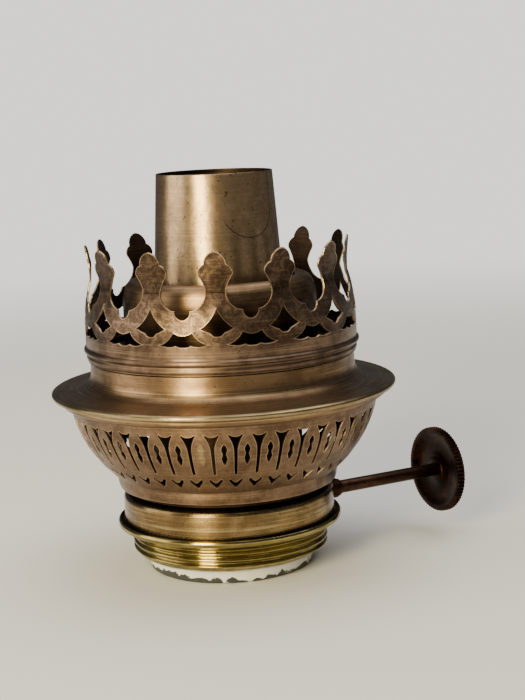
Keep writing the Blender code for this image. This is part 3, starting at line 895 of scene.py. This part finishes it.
def chevron():
    """The small opening below each slot."""
    degree = BASKET_DEGREE
    return mirrored(bowed([(0, 4.7, -0.05), (0.5 * degree, 4.9, 0), (2.90 * degree, 6.95, -0.08),
                           (2.35 * degree, 7.6, 0.0), (0.60 * degree, 6.6, 0.04), (0, 6.5, 0)], 4))


def basket_sheet():
    foot = foot_of("air_basket")
    return BentSheet(bowed([(22.05, foot, -0.10), (22.5, foot + 2.3, 0.06), (22.95, foot + 2.75, 0.0),
                            (23.3, foot + 3.0, -1.40), (rim_of("air_basket"), top_of("air_basket"), 0)], 18))


def swell_lobe(share, along):
    """Each lobe of the basket is pushed out a little between its slots."""
    lobe_foot = 8.0
    lobe_top = 18.6
    fade_length = 2.0
    swelling = 0.09 * MM
    place = along / MM
    across = math.cos(2 * math.pi * (share * BASKET_LOBES - BASKET_LOBE_AT * BASKET_LOBES / 360))
    fade = max(0.0, min(1.0, (place - lobe_foot) / fade_length, (lobe_top - place) / fade_length))
    return swelling * fade * (0.5 + 0.5 * across)


def make_basket():
    sheet = basket_sheet()
    pitch = 360 / BASKET_LOBES * BASKET_DEGREE
    lobe_x = BASKET_LOBE_AT * BASKET_DEGREE
    slot_x = lobe_x + pitch / 2
    outlines = [strip_corners(pitch * BASKET_LOBES, sheet.lengths[-1] / MM)]
    for index in range(BASKET_LOBES):
        left = index * pitch
        outlines.append(shifted(hourglass(), left + lobe_x))
        outlines.append(shifted(slot(), left + slot_x))
        outlines.append(shifted(chevron(), left + slot_x))
    bm = fill_outlines(outlines)
    start = BASKET_TURN - math.radians(BASKET_LOBE_AT)
    bend_round(bm, sheet, BASKET_REFERENCE * MM, start, BASKET_LOBES * 4, swell_lobe)
    finish_piece("pierced_basket", bm, "gallery", ["air_basket"], [basket_brass, worn_and_glinting_brass],
                 PIERCED_SHEET, PIERCED_EDGE, PIERCED_EDGE_ANGLE, inner_shade_brass, -1)


def make_slug():
    """The slug that the punch left hanging in one lobe of the basket."""
    sheet = basket_sheet()
    middle = BASKET_TURN + 2 * math.pi * BLIND_LOBE / BASKET_LOBES
    shrink = 0.94
    stand_out = 0.10 * MM
    bm = fill_outlines([hourglass()])
    bmesh.ops.inset_region(bm, faces=bm.faces, use_boundary=True, thickness=SOFT_EDGE)
    cut_across(bm, [((0, height * MM, 0), (0, 1, 0)) for height in (12.2, 13.0, 13.8, 14.6, 15.4)])
    bmesh.ops.triangulate(bm, faces=[face for face in bm.faces if len(face.verts) > 4])
    for vertex in bm.verts:
        angle = shrink * vertex.co.x / (BASKET_REFERENCE * MM) + middle
        radius, height = sheet.at(vertex.co.y)
        radius += stand_out
        vertex.co = (radius * math.cos(angle), radius * math.sin(angle), height)
    finish_piece("basket_slug", bm, "gallery", [], [painted_highlight_brass], PIERCED_SHEET, 0.05 * MM)


def petal(half):
    """One petal's upper edge, from the notch on its right over the tip to the notch on its left."""
    return mirrored(bowed([(half, 11.15, 0.45), (half - 1.55, 12.85, 0.85), (1.97, 16.2, 0.03),
                           (2.10, 17.1, 0.10), (3.3, 19.3, -0.10), (3.45, 20.1, -0.24), (2.2, 21.45, -0.62),
                           (0, 23.95, 0)], 8))


def diamond():
    """The opening at the foot of each petal."""
    return mirrored(bowed([(0, 8.0, -0.14), (0.95, 8.3, 0.10), (1.75, 8.85, -0.03), (3.15, 9.55, 0.42),
                           (0, 13.35, 0)], 8))


def half_wing():
    """Right half of the wing-shaped opening below each notch."""
    return bowed([(0, 6.10, -0.14), (1.45, 6.42, -0.30), (4.65, 6.55, 0.42), (1.86, 8.90, 0.14),
                  (0, 8.30, 0)], 7)


def crown_sheet():
    foot = foot_of("crown_gallery")
    return BentSheet(bowed([(26.95, foot, -0.05), (27.0, foot + 0.15, -0.22), (27.1, foot + 1.45, 0.0),
                            (27.15, foot + 1.65, -0.50), (27.35, foot + 2.9, 0.06), (27.3, foot + 3.5, 0.0),
                            (27.25, foot + 8.4, -0.22), (25.85, foot + 16.2, 0.28),
                            (rim_of("crown_gallery") - 0.95, foot + 24.0, 0)], 9))


def crown_outlines():
    """The coronet rolled out flat; its seam runs through the middle of one wing."""
    half = math.pi * CROWN_REFERENCE / CROWN_PETALS
    pitch = 2 * half
    length = pitch * CROWN_PETALS
    wing = half_wing()
    outline = [Vector((0, 0)), Vector((length, 0))]
    outline += [Vector((length - point.x, point.y)) for point in wing]
    for index in reversed(range(CROWN_PETALS)):
        outline += shifted(petal(half), half + pitch * index)
    outline.append(Vector((0, petal(half)[0].y)))
    outline += reversed(wing)
    diamonds = [shifted(diamond(), half + pitch * index) for index in range(CROWN_PETALS)]
    wings = [shifted(mirrored(wing), pitch * index) for index in range(1, CROWN_PETALS)]
    return [outline] + diamonds + wings


def lean_petal(share, along):
    """Each petal has been bent a little in or out over the years, and twisted about its own middle."""
    bends_from = 13.0
    bend_length = 10.0
    most_twist = 1.6
    most_lean = 0.45
    position = share * CROWN_PETALS
    index = int(position) % CROWN_PETALS
    rise = max(0.0, along / MM - bends_from) / bend_length
    twist = (position - index - 0.5) * most_twist * math.sin(2.3 * index + 0.7)
    return MM * rise * rise * (most_lean * math.sin(1.9 * index) + twist)


def make_crown():
    bm = fill_outlines(crown_outlines())
    start = CROWN_TURN + (CROWN_SEAM_PETAL - 0.5) * 2 * math.pi / CROWN_PETALS
    bend_round(bm, crown_sheet(), CROWN_REFERENCE * MM, start, CROWN_PETALS * 8, lean_petal)
    finish_piece("coronet", bm, "gallery", ["crown_gallery"], [crown_brass, worn_and_glinting_brass],
                 PIERCED_SHEET, PIERCED_EDGE, PIERCED_EDGE_ANGLE, inner_shade_brass, 0)


def make_flange():
    top = top_of("gallery_flange")
    rim = rim_of("gallery_flange")
    neck = [(26.6, top, 0.0), (26.7, top - 2.4, -0.50), (28.6, top - 4.85, -0.06), (31.0, top - 5.3, 0.0)]
    rolled_edge = [(rim - 0.8, top - 5.6, 0.03), (rim - 0.28, top - 5.8, 0.09),
                   (rim - 0.03, top - 6.25, 0.09), (rim - 0.28, top - 6.7, 0.05), (rim - 0.8, top - 6.9, 0.0)]
    hem = [(33.3, top - 7.0, -0.08), (33.0, top - 7.4, 0.22), (32.4, top - 8.2, 0.0), (31.9, top - 8.5, 0.0)]
    line = bowed(neck + rolled_edge + hem, 7)
    bm = spin_line(line, 220)
    point_outwards(bm)
    # the outer half of the rolled edge takes the painted highlight brass
    for face in bm.faces:
        middle = face.calc_center_median()
        at_the_rim = math.hypot(middle.x, middle.y) > (rim - 0.55) * MM
        if at_the_rim and middle.z > (top - 6.9) * MM:
            face.material_index = 1
    finish_piece("flange_ring", bm, "gallery", ["gallery_flange"],
                 [body_brass, painted_highlight_brass], SHEET, inside=inner_shade_brass)


def make_cap():
    top = top_of("draught_cap")
    rim = rim_of("draught_cap")
    line = bowed([(15.3, top - 0.25, 0.0), (16.7, top - 0.02, 0.05), (17.6, top - 0.2, 0.35),
                  (19.1, top - 2.4, 0.06), (rim, top - 4.4, 0.0), (rim, top - 9.0, 0.0),
                  (rim, foot_of("draught_cap"), 0.0)], 8)
    bm = spin_line(line, 128)
    point_outwards(bm)
    finish_piece("domed_cap", bm, "gallery", ["draught_cap"],
                 [cap_brass, worn_and_glinting_brass], SHEET, SOFT_EDGE, inside=inner_shade_brass)


def make_seat():
    """The flat ring under the chimney, pierced with a ring of round air holes."""
    foot = foot_of("chimney_seat")
    top = top_of("chimney_seat")
    hole_ring = 23.0
    outlines = [ring_outline(rim_of("chimney_seat"), 128), ring_outline(19.8, 96)]
    for index in range(SEAT_HOLES):
        angle = 2 * math.pi * index / SEAT_HOLES
        outlines.append(ring_outline(1.7, 20, (hole_ring * math.cos(angle), hole_ring * math.sin(angle))))
    bm = fill_outlines(outlines)
    bmesh.ops.translate(bm, vec=(0, 0, top * MM), verts=bm.verts)
    finish_piece("seat_plate", bm, "gallery", ["chimney_seat"], [inner_shade_brass],
                 (top - foot) * MM, SOFT_EDGE)


def make_sleeve():
    foot = foot_of("basket_seat_ring")
    top = top_of("basket_seat_ring")
    section = [(21.6, top), (21.6, top - 0.5), (20.5, top - 0.5), (20.2, top - 0.8), (20.2, foot),
               (19.7, foot), (19.7, top - 0.2), (19.9, top)]
    finish_piece("basket_sleeve", spin_line(section, 128, True), "gallery", ["basket_seat_ring"],
                 [inner_shade_brass])


# Stage, light and camera

def make_floor():
    """A pale disc that fades out towards its rim."""
    radius = 0.7
    fade_from = 0.22
    fade_to = 0.60
    bm = bmesh.new()
    bmesh.ops.create_circle(bm, cap_ends=True, segments=96, radius=radius)
    mesh = bpy.data.meshes.new("floor")
    bm.to_mesh(mesh)
    bm.free()
    floor = bpy.data.objects.new("floor", mesh)
    bpy.context.scene.collection.objects.link(floor)
    finish = Finish("pale_floor", 0.0, 0.85)
    finish.shader.inputs["Base Color"].default_value = (0.78, 0.76, 0.71, 1)
    x, y, _ = finish.split()
    away = finish.hypotenuse(x, y)
    finish.link(finish.ramp(away, fade_from, fade_to, 1.0, 0.0), finish.shader.inputs["Alpha"])
    mesh.materials.append(finish.material)


def make_surroundings():
    """A pale backdrop behind the burner, and a dark room all round for the metal to mirror."""
    world = bpy.data.worlds.new("studio")
    world.use_nodes = True
    tree = world.node_tree
    room = tree.nodes["Background"]
    room.inputs["Color"].default_value = (0.9, 0.95, 1.0, 1)
    room.inputs["Strength"].default_value = 0.10
    backdrop = tree.nodes.new("ShaderNodeBackground")
    backdrop.inputs["Color"].default_value = (0.86, 0.85, 0.81, 1)
    backdrop.inputs["Strength"].default_value = 1.6
    seen = tree.nodes.new("ShaderNodeLightPath")
    choice = tree.nodes.new("ShaderNodeMixShader")
    tree.links.new(seen.outputs["Is Camera Ray"], choice.inputs[0])
    tree.links.new(room.outputs[0], choice.inputs[1])
    tree.links.new(backdrop.outputs[0], choice.inputs[2])
    tree.links.new(choice.outputs[0], tree.nodes["World Output"].inputs["Surface"])
    bpy.context.scene.world = world


def add_area(name, azimuth, elevation, distance, size, power, colour=(1, 1, 1)):
    """A soft box aimed at the burner; azimuth is counted from the camera's side, positive to its right."""
    turn = math.radians(azimuth + CAMERA_TURN)
    rise = math.radians(elevation)
    level = Vector((math.sin(turn), -math.cos(turn), 0))
    direction = level * math.cos(rise) + Vector((0, 0, math.sin(rise)))
    burner_middle = Vector((0, 0, 0.045))
    lamp = bpy.data.lights.new(name, "AREA")
    lamp.shape = "RECTANGLE"
    lamp.size, lamp.size_y = size
    lamp.energy = power
    lamp.color = colour
    item = bpy.data.objects.new(name, lamp)
    bpy.context.scene.collection.objects.link(item)
    item.location = burner_middle + direction * distance
    item.rotation_euler = (-direction).to_track_quat("-Z", "Y").to_euler()


def make_camera():
    data = bpy.data.cameras.new("camera")
    data.sensor_width = 36
    data.lens = CAMERA_LENS
    data.clip_start = 0.01
    item = bpy.data.objects.new("camera", data)
    bpy.context.scene.collection.objects.link(item)
    turn = math.radians(CAMERA_TURN)
    item.location = (CAMERA_DISTANCE * math.sin(turn), -CAMERA_DISTANCE * math.cos(turn), CAMERA_HEIGHT)
    look = Matrix.Rotation(math.radians(CAMERA_TURN - CAMERA_YAW), 3, "Z")
    look = look @ Matrix.Rotation(math.radians(90 - CAMERA_PITCH), 3, "X")
    look = look @ Matrix.Rotation(math.radians(-CAMERA_ROLL), 3, "Z")
    item.rotation_euler = look.to_euler()
    bpy.context.scene.camera = item


make_camera()
make_floor()
make_surroundings()
add_area("key_light", -28, 14, 0.75, (0.22, 0.60), 11.0, (1.0, 0.87, 0.53))
add_area("fill_light", -84, 12, 0.9, (0.6, 0.9), 5.0, (1.0, 0.94, 0.82))
add_area("top_light", 150, 84, 1.1, (1.5, 1.5), 16)

make_collar()
make_foot()
make_housing()
make_gland()
make_wick_tube()
make_air_tube()
make_air_tube_floor()
make_duct()
make_strap()
make_spindle()
make_thumbwheel()
make_rivet_head()
make_stop_collar()
make_wheels()
make_wick()
make_basket()
make_slug()
make_crown()
make_flange()
make_cap()
make_seat()
make_sleeve()
